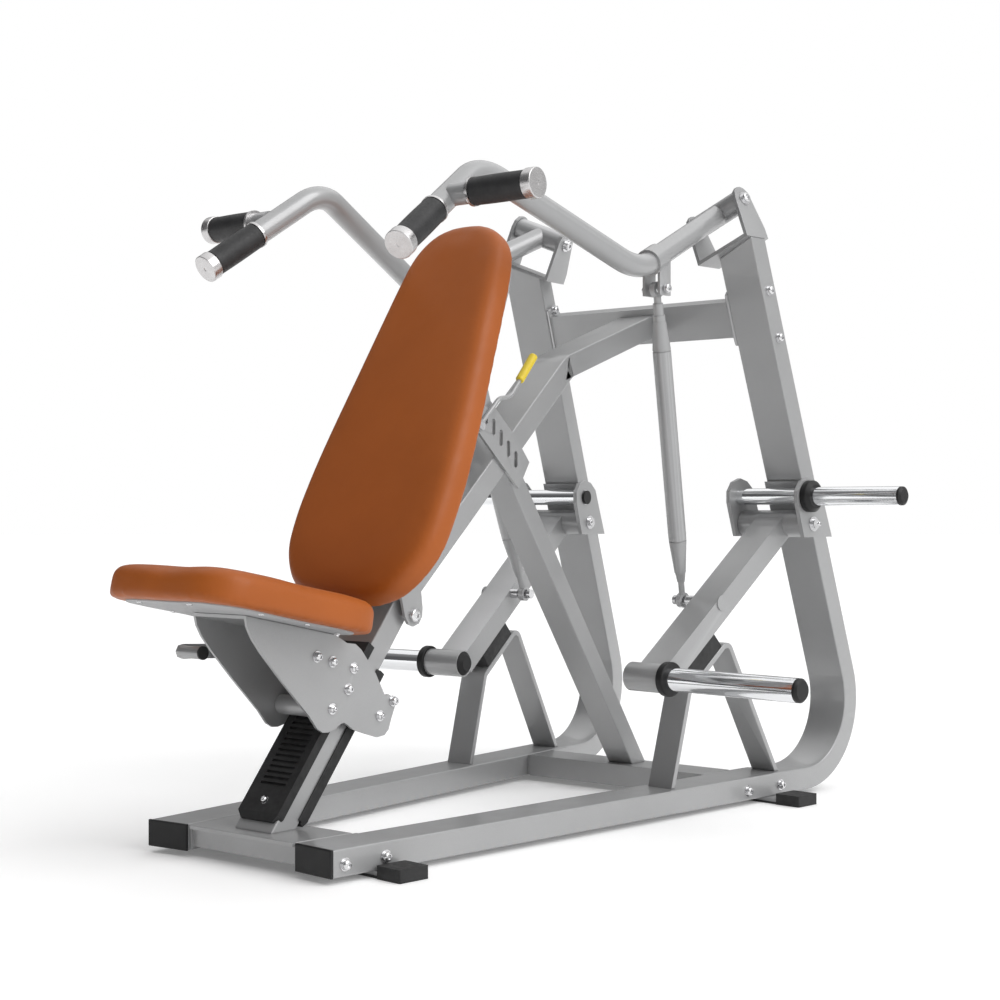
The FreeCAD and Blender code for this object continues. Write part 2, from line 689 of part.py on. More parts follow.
def comb():
    """Toothed recline plates on both sides of the spine, with their end bolts."""
    items = []
    line = unit(V(0, 133, -118))
    n = V(0, -line.z, line.y)
    a = V(0, 600, 834)
    p = [a, a + line * 196, V(0, 783, 762), V(0, 745, 806), a + n * 76 + line * 96, a + n * 76 - line * 10,
         a + n * 58 - line * 24]
    outline = [(q.y, q.z) for q in p]
    for s in (-1, 1):
        x0 = 50.0 if s > 0 else -57.0
        plate = prism(outline, x0, x0 + 7.0)
        for i in range(6):
            y = 613.3 + 24.7 * i
            z = 880.3 - 22.3 * i
            slot = fuse([cyl(V(-80, y, z + 10), X, 5.5, 160), cyl(V(-80, y, z - 14), X, 5.5, 160),
                         box(-80, 80, y - 5.5, y + 5.5, z - 14, z + 10)])
            plate = plate.cut(slot)
        items.append(plate)
    return Part.makeCompound(items)


def latch_lever():
    """Recline lever: hub on the right arm, latch tab and bent rod."""
    x = 78.0
    hub_p = on_back(430, 0)
    hub = cyl(V(69.4, hub_p[0], hub_p[1]), X, 12.0, 14.0)
    path = [V(x, hub_p[0], hub_p[1]), V(x, 655.0, 893.0), V(x, 690.0, 897.0), V(x, 768.0, 986.0)]
    rod_body = pipe(path, [30.0, 40.0], 5.0)
    tab = prism([on_back(424, -8), on_back(476, -6), on_back(480, 14), on_back(424, 10)], 69.6, 74.6)
    body = fuse([hub, rod_body, tab])
    return body.cut(cyl(V(60, hub_p[0], hub_p[1]), X, 5.05, 40))


def latch_pin():
    y, z = on_back(430, 0)
    pin = cyl(V(62.0, y, z), X, 5.0, 22.0)
    return pin.fuse(cyl(V(83.8, y, z), X, 9.0, 3.0)).removeSplitter()


def latch_grip():
    a = V(78.0, 722.0, 933.6)
    b = V(78.0, 772.0, 990.6)
    grip = rod(a, b, 9.5)
    grip = grip.makeFillet(4.0, grip.Edges)
    return grip.cut(rod(a - (b - a), V(78.0, 768.0, 986.0), 5.1))


# ---- weight arms ----

def weight_arm():
    hw = FORK_W / 2
    housing = cyl(V(-hw + 11.0, PIVOT_U, PIVOT_Z), X, 31.0, FORK_W - 22.0)
    beam = bar(on_arm(0, 0), on_arm(548, 0), 37.5, ARM_HALF)
    hollow = bar(on_arm(36, 0), on_arm(520, 0), 34.5, ARM_HALF - WALL)
    sleeve = cyl(V(-43, HORN_U, HORN_Z), X, 31.0, 93.0)
    boss = cyl(V(37.5, BALL_U, BALL_Z - 2), X, 17.0, 3.0)
    body = fuse([housing, beam, sleeve, boss]).cut(hollow)
    body = body.cut(cyl(V(-hw, PIVOT_U, PIVOT_Z), X, 12.06, FORK_W))
    body = body.cut(cyl(V(-50, HORN_U, HORN_Z), X, SOCKET_R, 120))
    body = body.cut(cyl(V(-60, BALL_U, BALL_Z), X, 6.0, 92))
    return placed(body)


def horn():
    """Plate horn: a thinner shank in its socket and the bright exposed length."""
    shank = cyl(V(-43, HORN_U, HORN_Z), X, SOCKET_R, HORN_START + 43 + 5)
    bright = cyl(V(HORN_START, HORN_U, HORN_Z), X, HORN_R, HORN_END - 10 - HORN_START)
    return placed(shank.fuse(bright).removeSplitter())


def horn_trim():
    ring = cyl(V(50.2, HORN_U, HORN_Z), X, 37.0, 18.0)
    ring = ring.makeFillet(4.0, [e for e in ring.Edges if e.Length > 150 and len(e.Vertexes) < 2])
    ring = ring.cut(cyl(V(0, HORN_U, HORN_Z), X, SOCKET_R, 100))
    tip = HORN_END - 10
    cap = cyl(V(tip, HORN_U, HORN_Z), X, HORN_R - 0.3, 5.0)
    cap = cap.fuse(Part.makeCone(HORN_R - 0.3, HORN_R - 5, 5.0, V(tip + 5, HORN_U, HORN_Z), X))
    back = Part.makeCone(HORN_R - 8, 28.0, 10.0, V(-53, HORN_U, HORN_Z), X)
    return placed(Part.makeCompound([ring, cap.removeSplitter(), back]))


def link_bolt():
    """Bolt of the lower ball joint, with its spacer and nut; the link's eye hangs round it."""
    pin = cyl(V(-88, BALL_U, BALL_Z), X, 6.0, 120.0)
    spacer = cyl(V(-59, BALL_U, BALL_Z), X, 11.0, 21.4)
    head = cyl(V(-95, BALL_U, BALL_Z), X, 11.0, 8.0)
    return placed(fuse([pin, spacer, head]))


# ---- link ----

def eye_bottom():
    return side_point(BALL_W, BALL_U, BALL_Z)


def link_axes():
    d = unit(eye_bottom() - EYE_TOP)
    n = V(cosd(SPLAY), -sind(SPLAY), 0)
    second = unit(d.cross(n))
    return d, n, second


def clevis_bolt():
    n = link_axes()[1]
    pin = cyl(EYE_TOP - n * 30, n, 5.0, 60.0)
    heads = [cyl(EYE_TOP + n * 26, n, 9.0, 7.0), cyl(EYE_TOP - n * 33, n, 9.0, 7.0)]
    return fuse([pin] + heads)


def along_pin(shape, centre):
    """Turn a shape made round Z so that it lies round the link's pin axis at a point."""
    s = shape.copy()
    s.Placement = FreeCAD.Placement(centre, FreeCAD.Rotation(Z, link_axes()[1]))
    return s


def turned(r_in, r_out, h, arc_r, arc_side):
    """Ring round Z whose outer (+1) or inner (-1) wall follows a sphere of radius arc_r."""
    a = V(r_in, 0, -h)
    b = V(r_out, 0, -h)
    c = V(r_out, 0, h)
    d = V(r_in, 0, h)
    outer = Part.makeLine(b, c)
    inner = Part.makeLine(d, a)
    if arc_side > 0:
        outer = Part.Arc(b, V(arc_r, 0, 0), c).toShape()
    else:
        inner = Part.Arc(d, V(arc_r, 0, 0), a).toShape()
    wire = Part.Wire([Part.makeLine(a, b), outer, Part.makeLine(c, d), inner])
    return Part.Face(wire).revolve(O, Z, 360)


def link_ball():
    """Ball with a bore and a short neck on each side."""
    half = math.sqrt(BALL_R ** 2 - 7.5 ** 2)
    ball = turned(5.05, 7.5, half, BALL_R, 1)
    necks = []
    for z0 in (-13.4, half - 0.5):
        ring = cyl(V(0, 0, z0), Z, 7.5, 13.9 - half).cut(cyl(V(0, 0, z0 - 1), Z, 5.05, 30))
        necks.append(ring)
    return along_pin(fuse([ball] + necks), EYE_TOP)


def link_rod():
    """Rod with a rod end at each foot; the upper eye turns on its ball, the lower one is open."""
    d, n, second = link_axes()
    low = eye_bottom()
    length = (low - EYE_TOP).Length
    cup = BALL_R + 0.05
    eye = along_pin(turned(math.sqrt(cup ** 2 - 6.5 ** 2), 17.0, 6.5, cup, -1), EYE_TOP)
    sections = [(15.0, 30.0, 8.0, 8.0), (30.0, 56.0, 11.0, 11.0), (56.0, 70.0, 13.5, 13.5),
                (70.0, 132.0, 14.5, 20.0), (132.0, 135.0, 18.0, 18.0), (135.0, length - 143, 20.0, 20.0),
                (length - 143, length - 140, 18.0, 18.0), (length - 140, length - 66, 20.0, 13.0),
                (length - 66, length - 44, 12.0, 8.5), (length - 44, length - 14, 7.0, 7.0)]
    shapes = []
    for a, b, r0, r1 in sections:
        p = EYE_TOP + d * a
        if abs(r0 - r1) < 0.01:
            shapes.append(cyl(p, d, r0, b - a))
        else:
            shapes.append(Part.makeCone(r0, r1, b - a, p, d))
    foot = cyl(low - n * 6.5, n, 17.0, 13.0)
    shank = fuse(shapes + [foot]).cut(cyl(low - n * 30, n, 10.5, 60))
    return shank.fuse(eye).removeSplitter()


# ---- press arms ----

def press_arm():
    hw = PRESS_W / 2 - 8.0
    housing = press_placed(cyl(V(-hw + 0.8, 0, 0), X, 26.0, 2 * hw - 1.6))
    path = list(ARM_PATH)
    outer = pipe(path, [120.0, 95.0], ARM_R)
    inner = pipe(path, [120.0, 95.0], ARM_R - WALL)
    stub_dir = unit(GRIP_TIP - GRIP_ROOT)
    stub = cyl(GRIP_ROOT + stub_dir * 12, stub_dir, 22.0, 172.0)
    shapes = [housing, outer.cut(inner), stub.cut(outer)] + saddle()
    body = fuse(shapes)
    body = body.cut(press_placed(cyl(V(-hw - 5, 0, 0), X, 11.06, 2 * hw + 10)))
    n = link_axes()[1]
    return body.cut(cyl(EYE_TOP - n * 60, n, 5.0, 120))


def saddle():
    """Clevis under the arm: a strap round the tube and two ears."""
    n = link_axes()[1]
    leg = unit(ARM_PATH[1] - ARM_PATH[0])
    t = (EYE_TOP - ARM_PATH[0]).dot(leg)
    c = ARM_PATH[0] + leg * t
    strap = cyl(c - leg * 23, leg, ARM_R + 5, 46).cut(cyl(c - leg * 40, leg, ARM_R - 1, 80))
    out = [strap]
    f = Z.cross(n)
    for s in (-1, 1):
        ear = Part.makeBox(6, 36, 84, V(-3, -18, -14))
        ear.Placement = FreeCAD.Placement(EYE_TOP + n * (21.0 * s), FreeCAD.Rotation(n, f, Z, "XZY"))
        out.append(ear.cut(cyl(c - leg * 60, leg, ARM_R - 1, 120)))
    return out


def grips():
    """Rubber sleeves of the two hand grips of one arm."""
    d = unit(ARM_PATH[3] - ARM_PATH[2])
    end = ARM_PATH[3]
    first = cyl(end - d * 142, d, 26.5, 122).cut(cyl(end - d * 160, d, ARM_R, 200))
    e = unit(GRIP_TIP - GRIP_ROOT)
    second = cyl(GRIP_TIP - e * 142, e, 26.5, 122).cut(cyl(GRIP_TIP - e * 160, e, 22.0, 200))
    return Part.makeCompound([first, second])


def grip_caps():
    """Metal collars and end discs of the two grips."""
    items = []
    d = unit(ARM_PATH[3] - ARM_PATH[2])
    e = unit(GRIP_TIP - GRIP_ROOT)
    for end, v, r in ((ARM_PATH[3], d, ARM_R), (GRIP_TIP, e, 22.0)):
        cap = cyl(end - v * 20, v, 29.0, 22.0)
        cap = cap.makeFillet(2.0, [q for q in cap.Edges if q.Length > 100 and len(q.Vertexes) < 2])
        cap = cap.cut(cyl(end - v * 30, v, r, 30.0)).cut(cyl(end + v * 1.0, v, 4.0, 5.0))
        ring = cyl(end - v * 148, v, 28.0, 6.0).cut(cyl(end - v * 170, v, r, 60.0))
        items += [cap, ring]
    return Part.makeCompound(items)


def main():
    os.makedirs("parts", exist_ok=True)
    save_pair("side_frame", side_frame())
    save("rail_caps", both(rail_cap()))
    save("front_tie", front_tie())
    save("rear_tie", rear_tie())
    save("spine", spine())
    save("top_beam", top_beam())
    save("brace", brace())
    save("foot_plates", both(Part.makeCompound([foot_plate(*p) for p in feet()])))
    save("foot_rubbers", both(Part.makeCompound([foot_rubber(*p) for p in feet()])))
    save_pair("stop_frame", stop_frame())
    save("bumpers", both(bumper()))
    save_pair("fork", fork())
    save("lower_pins", both(lower_pin()))
    save_pair("storage_peg", storage_peg())
    save("peg_trims", both(peg_trim()))
    save_pair("top_bracket", top_bracket())
    save("top_pins", both(top_pin()))
    save("frame_bolts", frame_bolts())
    save("front_guard", front_guard())
    save("rear_guard", rear_guard())
    save("comb", comb())
    save("hinge_pin", hinge_pin())
    save("seat_carriage", carriage())
    save("seat_pad", seat_pad())
    save("seat_bolts", seat_bolts())
    for i, name in enumerate(("roller_low", "roller_high", "roller_rear")):
        save(name, roller(i))
    save("seat_lever", lever_arm())
    save("seat_lever_plug", lever_plug())
    save("back_pad", back_pad())
    save("back_frame", back_frame())
    save("latch_lever", latch_lever())
    save("latch_pin", latch_pin())
    save("latch_grip", latch_grip())
    save_pair("weight_arm", weight_arm())
    save_pair("horn", horn())
    save_pair("horn_trim", horn_trim())
    save_pair("link_bolt", link_bolt())
    save_pair("link_ball", link_ball())
    save_pair("link_rod", link_rod())
    save_pair("press_arm", press_arm())
    save_pair("clevis_bolt", clevis_bolt())
    save_pair("grips", grips())
    save_pair("grip_caps", grip_caps())


main()
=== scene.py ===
import json
import math

import bmesh
import bpy
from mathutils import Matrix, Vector


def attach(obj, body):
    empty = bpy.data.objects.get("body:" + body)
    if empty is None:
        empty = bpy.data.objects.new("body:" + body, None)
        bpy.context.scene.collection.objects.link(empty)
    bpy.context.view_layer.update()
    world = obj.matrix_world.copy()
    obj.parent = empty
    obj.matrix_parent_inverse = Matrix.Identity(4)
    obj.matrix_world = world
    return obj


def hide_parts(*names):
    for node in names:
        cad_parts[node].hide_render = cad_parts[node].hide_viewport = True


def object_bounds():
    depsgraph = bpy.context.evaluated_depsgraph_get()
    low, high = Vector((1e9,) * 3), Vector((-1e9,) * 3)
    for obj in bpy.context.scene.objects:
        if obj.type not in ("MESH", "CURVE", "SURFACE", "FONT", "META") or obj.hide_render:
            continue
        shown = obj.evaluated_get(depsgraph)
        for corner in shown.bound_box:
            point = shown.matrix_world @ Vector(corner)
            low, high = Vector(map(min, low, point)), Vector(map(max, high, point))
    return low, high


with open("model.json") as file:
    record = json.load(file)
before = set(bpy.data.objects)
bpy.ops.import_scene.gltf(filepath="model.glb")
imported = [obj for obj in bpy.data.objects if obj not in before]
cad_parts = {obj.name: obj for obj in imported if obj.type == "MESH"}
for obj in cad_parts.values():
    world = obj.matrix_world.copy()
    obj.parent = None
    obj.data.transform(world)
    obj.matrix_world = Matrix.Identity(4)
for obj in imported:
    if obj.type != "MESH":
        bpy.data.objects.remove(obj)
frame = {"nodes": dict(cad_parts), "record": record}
cad_low, cad_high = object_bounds()
nodes = frame["nodes"]
bodies = frame["record"]["behaviour"]["bodies"]
body_of = {node: body for body, names in bodies.items() for node in names}

# Directions that the CAD sets. Lengths are in metres throughout.
SPLAY = math.radians(5.284)
PIVOT_TILT = math.radians(21.5)
POST_LEAN = math.radians(51.5)
BACK_LEAN = math.radians(63.43)
SEAT_SLOPE = 0.207
UP = Vector((0.0, 0.0, 1.0))
ACROSS = Vector((1.0, 0.0, 0.0))
SEAT_UP = Vector((0.0, SEAT_SLOPE, 1.0)).normalized()
BACK_OUT = Vector((0.0, -math.sin(BACK_LEAN), math.cos(BACK_LEAN)))
POST_FRONT = Vector((0.0, -math.sin(POST_LEAN), math.cos(POST_LEAN)))
OUT_R = Vector((math.cos(SPLAY), -math.sin(SPLAY), 0.0))
OUT_L = Vector((-math.cos(SPLAY), -math.sin(SPLAY), 0.0))
PIVOT_R = OUT_R * math.cos(PIVOT_TILT) + UP * math.sin(PIVOT_TILT)
PIVOT_L = OUT_L * math.cos(PIVOT_TILT) + UP * math.sin(PIVOT_TILT)

# CAD node, new piece and the directions its screws or pins may point in.
SCREWS = [("frame_bolts", "frame_screws", [OUT_R, OUT_L, POST_FRONT]),
          ("seat_bolts", "seat_screws", [ACROSS]),
          ("lower_pins", "lower_pin_heads", [OUT_R, OUT_L]),
          ("top_pins", "top_pin_heads", [PIVOT_R, PIVOT_L]),
          ("hinge_pin", "hinge_heads", [ACROSS]),
          ("clevis_bolt_r", "clevis_heads_r", [OUT_R]),
          ("clevis_bolt_l", "clevis_heads_l", [OUT_L])]


def linked(name, data):
    obj = bpy.data.objects.new(name, data)
    bpy.context.collection.objects.link(obj)
    return obj


# ---- camera, light and floor ----

CAMERA_AT = (2.48519, -2.94218, 0.66497)
CAMERA_LOOK = Vector((-0.6397, 0.7686, 0.0039))
LENS_MM = 64.46
SENSOR_MM = 36.0
FLOOR_RADIUS = 40.0
FLOOR_DROP = 0.0005


def add_camera():
    data = bpy.data.cameras.new("camera")
    data.lens = LENS_MM
    data.sensor_width = SENSOR_MM
    camera = linked("camera", data)
    camera.location = CAMERA_AT
    camera.rotation_euler = CAMERA_LOOK.to_track_quat("-Z", "Y").to_euler()
    bpy.context.scene.camera = camera


def soft_sun(name, source, strength, width):
    """Even light from one direction, with shadows as soft as its width in degrees."""
    data = bpy.data.lights.new(name, "SUN")
    data.energy = strength
    data.angle = math.radians(width)
    light = linked(name, data)
    light.rotation_euler = (-Vector(source)).to_track_quat("-Z", "Y").to_euler()


def add_world():
    """White to the camera; for the shading, bright from the right, the rear and above, and grey elsewhere."""
    world = bpy.data.worlds.new("studio")
    bpy.context.scene.world = world
    world.use_nodes = True
    tree = world.node_tree
    tree.nodes.clear()
    out = tree.nodes.new("ShaderNodeOutputWorld")
    mix = tree.nodes.new("ShaderNodeMixShader")
    path = tree.nodes.new("ShaderNodeLightPath")
    seen = tree.nodes.new("ShaderNodeBackground")
    seen.inputs["Color"].default_value = (1.0, 1.0, 1.0, 1.0)
    seen.inputs["Strength"].default_value = 1.0
    lit = tree.nodes.new("ShaderNodeBackground")
    coords = tree.nodes.new("ShaderNodeTexCoord")
    turn = tree.nodes.new("ShaderNodeVectorMath")
    turn.operation = "DOT_PRODUCT"
    turn.inputs[1].default_value = (0.62, 0.45, 0.64)
    ramp = tree.nodes.new("ShaderNodeValToRGB")
    ramp.color_ramp.elements[0].position = 0.30
    ramp.color_ramp.elements[0].color = (0.16, 0.16, 0.165, 1)
    ramp.color_ramp.elements[1].position = 0.85
    ramp.color_ramp.elements[1].color = (1.0, 1.0, 1.0, 1)
    scale = tree.nodes.new("ShaderNodeMath")
    scale.operation = "MULTIPLY_ADD"
    scale.inputs[1].default_value = 0.5
    scale.inputs[2].default_value = 0.5
    tree.links.new(coords.outputs["Generated"], turn.inputs[0])
    tree.links.new(turn.outputs["Value"], scale.inputs[0])
    tree.links.new(scale.outputs["Value"], ramp.inputs["Fac"])
    tree.links.new(ramp.outputs["Color"], lit.inputs["Color"])
    lit.inputs["Strength"].default_value = 0.6
    tree.links.new(path.outputs["Is Camera Ray"], mix.inputs["Fac"])
    tree.links.new(lit.outputs["Background"], mix.inputs[1])
    tree.links.new(seen.outputs["Background"], mix.inputs[2])
    tree.links.new(mix.outputs["Shader"], out.inputs["Surface"])


def add_floor():
    mesh = bpy.data.meshes.new("floor")
    shape = bmesh.new()
    bmesh.ops.create_circle(shape, cap_ends=True, segments=96, radius=FLOOR_RADIUS)
    bmesh.ops.translate(shape, verts=shape.verts, vec=UP * (cad_low[2] - FLOOR_DROP))
    shape.to_mesh(mesh)
    shape.free()
    mesh.materials.append(floor_material())
    linked("floor", mesh)


# ---- materials ----

class Shader:
    """A material under construction: a Principled shader and the nodes that feed it."""

    def __init__(self, name):
        self.material = bpy.data.materials.new(name)
        self.material.use_nodes = True
        self.tree = self.material.node_tree
        self.surface = self.tree.nodes["Principled BSDF"]
        self.coords = self.tree.nodes.new("ShaderNodeTexCoord").outputs["Object"]

    def set(self, **values):
        for name, value in values.items():
            label = name.replace("_", " ").title().replace("Ior", "IOR")
            self.surface.inputs[label].default_value = value

    def link(self, source, target):
        self.tree.links.new(source, target)

    def noise(self, scale, detail=4.0, stretch=None):
        node = self.tree.nodes.new("ShaderNodeTexNoise")
        node.inputs["Scale"].default_value = scale
        node.inputs["Detail"].default_value = detail
        source = self.coords
        if stretch:
            mapping = self.tree.nodes.new("ShaderNodeMapping")
            mapping.inputs["Scale"].default_value = stretch
            self.link(self.coords, mapping.inputs["Vector"])
            source = mapping.outputs["Vector"]
        self.link(source, node.inputs["Vector"])
        return node.outputs["Fac"]

    def cells(self, scale):
        node = self.tree.nodes.new("ShaderNodeTexVoronoi")
        node.inputs["Scale"].default_value = scale
        self.link(self.coords, node.inputs["Vector"])
        return node.outputs["Distance"]

    def span(self, source, low, high, start=0.3, end=0.7):
        node = self.tree.nodes.new("ShaderNodeMapRange")
        node.inputs["From Min"].default_value = start
        node.inputs["From Max"].default_value = end
        node.inputs["To Min"].default_value = low
        node.inputs["To Max"].default_value = high
        self.link(source, node.inputs["Value"])
        return node.outputs["Result"]

    def colours(self, source, first, second, start=0.3, end=0.7):
        node = self.tree.nodes.new("ShaderNodeValToRGB")
        ramp = node.color_ramp
        ramp.elements[0].position = start
        ramp.elements[0].color = (*first, 1.0)
        ramp.elements[1].position = end
        ramp.elements[1].color = (*second, 1.0)
        self.link(source, node.inputs["Fac"])
        return node.outputs["Color"]

    def mix(self, amount, first, second):
        node = self.tree.nodes.new("ShaderNodeMix")
        node.data_type = "RGBA"
        self.link(amount, node.inputs[0])
        self.link(first, node.inputs[6])
        node.inputs[7].default_value = (*second, 1.0)
        return node.outputs[2]

    # Mask for a painted highlight: lighter colour on sharp outer edges.
    def edges(self, start=0.52, end=0.62):
        """How much a spot lies on a sharp outer edge, where a painted highlight goes."""
        node = self.tree.nodes.new("ShaderNodeNewGeometry")
        return self.span(node.outputs["Pointiness"], 0.0, 1.0, start, end)

    def bump(self, source, strength, distance):
        node = self.tree.nodes.new("ShaderNodeBump")
        node.inputs["Strength"].default_value = strength
        node.inputs["Distance"].default_value = distance
        self.link(source, node.inputs["Height"])
        previous = self.surface.inputs["Normal"].links
        if previous:
            self.link(previous[0].from_socket, node.inputs["Normal"])
        self.link(node.outputs["Normal"], self.surface.inputs["Normal"])

    def colour(self, source):
        self.link(source, self.surface.inputs["Base Color"])

    def roughness(self, source):
        self.link(source, self.surface.inputs["Roughness"])


def floor_material():
    s = Shader("floor")
    s.colour(s.colours(s.noise(1.5), (0.93, 0.93, 0.93), (0.95, 0.95, 0.95)))
    s.set(roughness=0.9, specular_ior_level=0.1)
    s.set(emission_color=(1.0, 1.0, 1.0, 1.0), emission_strength=0.12)
    return s.material


def paint():
    s = Shader("silver_paint")
    tone = s.colours(s.noise(6.0), (0.325, 0.327, 0.330), (0.348, 0.350, 0.353))
    fleck = s.mix(s.span(s.noise(1800.0, 2.0), 0.0, 0.35, 0.45, 0.75), tone, (0.52, 0.52, 0.53))
    # Painted highlight: the paint's sharp outer edges are made lighter, as if they catch the light.
    s.colour(s.mix(s.edges(0.56, 0.70), fleck, (0.56, 0.56, 0.57)))
    s.roughness(s.span(s.noise(14.0), 0.34, 0.44))
    s.bump(s.noise(700.0, 3.0), 0.06, 0.0004)
    s.set(metallic=0.35, coat_weight=0.6, coat_roughness=0.10)
    return s.material


def leather():
    s = Shader("orange_leather")
    tone = s.colours(s.noise(5.0), (0.345, 0.086, 0.012), (0.385, 0.098, 0.015))
    pore = s.span(s.cells(900.0), 0.0, 1.0, 0.05, 0.6)
    s.colour(s.mix(s.span(pore, 0.35, 0.0, 0.0, 0.5), tone, (0.25, 0.060, 0.009)))
    s.roughness(s.span(s.noise(30.0), 0.40, 0.52))
    s.bump(s.cells(900.0), 0.16, 0.0005)
    s.bump(s.noise(60.0, 6.0), 0.05, 0.002)
    s.set(specular_ior_level=0.30)
    return s.material


def rubber():
    s = Shader("black_rubber")
    tone = s.colours(s.noise(25.0), (0.009, 0.009, 0.0095), (0.018, 0.018, 0.0185))
    # Painted highlight: the rubber's sharp outer edges are made lighter, as if they catch the light.
    s.colour(s.mix(s.edges(0.54, 0.66), tone, (0.045, 0.045, 0.046)))
    s.roughness(s.span(s.noise(80.0), 0.55, 0.72))
    s.bump(s.noise(1500.0, 3.0), 0.12, 0.0004)
    return s.material


def plastic():
    s = Shader("black_plastic")
    tone = s.colours(s.noise(12.0), (0.009, 0.009, 0.0095), (0.016, 0.016, 0.0165))
    # Painted highlight: the plastic's sharp outer edges are made lighter, as if they catch the light.
    s.colour(s.mix(s.edges(0.55, 0.68), tone, (0.05, 0.05, 0.051)))
    s.roughness(s.span(s.noise(40.0), 0.38, 0.50))
    s.bump(s.cells(1600.0), 0.10, 0.0003)
    s.set(specular_ior_level=0.30)
    return s.material


def grip_rubber():
    s = Shader("grip_rubber")
    s.colour(s.colours(s.noise(30.0), (0.012, 0.012, 0.013), (0.024, 0.024, 0.025)))
    s.roughness(s.span(s.noise(200.0), 0.48, 0.62))
    s.bump(s.cells(1100.0), 0.25, 0.0004)
    return s.material


def chrome():
    s = Shader("chrome")
    s.colour(s.colours(s.noise(4.0), (0.84, 0.85, 0.87), (0.90, 0.91, 0.92)))
    s.roughness(s.span(s.noise(300.0, 3.0, (0.05, 1.0, 1.0)), 0.05, 0.13))
    s.bump(s.noise(500.0, 2.0, (0.05, 1.0, 1.0)), 0.02, 0.0002)
    s.set(metallic=1.0)
    return s.material


def zinc():
    s = Shader("bright_zinc")
    s.colour(s.colours(s.noise(60.0), (0.66, 0.66, 0.67), (0.78, 0.78, 0.79)))
    s.roughness(s.span(s.noise(120.0), 0.16, 0.30))
    s.bump(s.noise(900.0), 0.05, 0.0003)
    s.set(metallic=1.0)
    return s.material


def aluminium():
    s = Shader("turned_aluminium")
    s.colour(s.colours(s.noise(40.0), (0.56, 0.55, 0.55), (0.63, 0.62, 0.62)))
    s.roughness(s.span(s.noise(700.0, 2.0, (1.0, 0.1, 1.0)), 0.24, 0.36))
    s.bump(s.noise(1200.0, 2.0), 0.04, 0.0002)
    s.set(metallic=0.95)
    return s.material


def yellow():
    s = Shader("yellow_plastic")
    s.colour(s.colours(s.noise(20.0), (0.72, 0.54, 0.030), (0.80, 0.61, 0.040)))
    s.roughness(s.span(s.noise(90.0), 0.36, 0.50))
    s.bump(s.cells(1300.0), 0.10, 0.0003)
    return s.material


def board():
    s = Shader("pale_board")
    s.colour(s.colours(s.noise(9.0), (0.34, 0.34, 0.345), (0.40, 0.40, 0.405)))
    s.roughness(s.span(s.noise(60.0), 0.50, 0.65))
    s.bump(s.noise(900.0, 5.0), 0.10, 0.0004)
    return s.material


SLOT_MATERIALS = {
    "frame_paint": paint(),
    "pad_leather": leather(),
    "black_rubber": rubber(),
    "black_plastic": plastic(),
    "chrome": chrome(),
    "bolt_steel": zinc(),
    "aluminium": aluminium(),
    "yellow_plastic": yellow(),
}
GRIP = grip_rubber()
BOARD = board()


def dress_nodes():
    for part in frame["record"]["subparts"]:
        obj = nodes[part["node"]]
        obj.data.materials.clear()
        obj.data.materials.append(SLOT_MATERIALS[part["material_slot"]])


# Radius of the rounded edges, and the CAD nodes that have it.
SOFT_EDGES = [
    (0.0045, ["side_frame_r", "side_frame_l", "spine"]),
    (0.0040, ["top_beam", "brace", "weight_arm_r", "weight_arm_l"]),
    (0.0030, ["rear_tie"]),
    (0.0025, ["bumpers"]),
    (0.0018, ["stop_frame_r", "stop_frame_l", "top_bracket_r", "top_bracket_l"]),
    (0.0015, ["front_tie", "fork_r", "fork_l", "seat_lever", "foot_rubbers"]),
    (0.0012, ["seat_carriage", "back_frame", "rear_guard", "horn_trim_r", "horn_trim_l", "peg_trims"]),
    (0.0010, ["rail_caps", "front_guard", "foot_plates", "grip_caps_r", "grip_caps_l"]),
    (0.0008, ["comb", "latch_lever"]),
]
WELD_GAP = 0.00002
EDGE_ANGLE = math.radians(40)


def soften_edges():
    """Rolled tube corners and broken plate edges."""
    for width, names in SOFT_EDGES:
        for name in names:
            weld = nodes[name].modifiers.new("weld", "WELD")
            weld.merge_threshold = WELD_GAP
            round_over = nodes[name].modifiers.new("round", "BEVEL")
            round_over.width = width
            round_over.segments = 3
            round_over.limit_method = "ANGLE"
            round_over.angle_limit = EDGE_ANGLE


# ---- helpers for new pieces ----

def add_piece(name, mesh, body, material):
    obj = linked(name, mesh)
    mesh.materials.clear()
    mesh.materials.append(material)
    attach(obj, body)
    return obj


def drawn(name, shape):
    """The mesh of a drawn shape."""
    bmesh.ops.recalc_face_normals(shape, faces=shape.faces)
    mesh = bpy.data.meshes.new(name)
    shape.to_mesh(mesh)
    shape.free()
    return mesh


def smooth(mesh):
    mesh.polygons.foreach_set("use_smooth", [True] * len(mesh.polygons))


def add_turned(name, shape, body, material, sharp_from):
    """A piece with smooth faces, and sharp edges from an angle in degrees on."""
    mesh = drawn(name, shape)
    smooth(mesh)
    mesh.set_sharp_from_angle(angle=math.radians(sharp_from))
    return add_piece(name, mesh, body, material)


def evaluated_mesh(obj):
    graph = bpy.context.evaluated_depsgraph_get()
    return bpy.data.meshes.new_from_object(obj.evaluated_get(graph))


def modified(mesh, *steps):
    """A mesh after some modifiers, each given as (type, settings)."""
    obj = linked("work", mesh)
    for kind, settings in steps:
        modifier = obj.modifiers.new(kind.lower(), kind)
        for key, value in settings.items():
            setattr(modifier, key, value)
    result = evaluated_mesh(obj)
    bpy.data.objects.remove(obj)
    return result


def round_axes(axis):
    """Two directions square to an axis and to each other."""
    side = axis.orthogonal().normalized()
    return side, axis.cross(side)


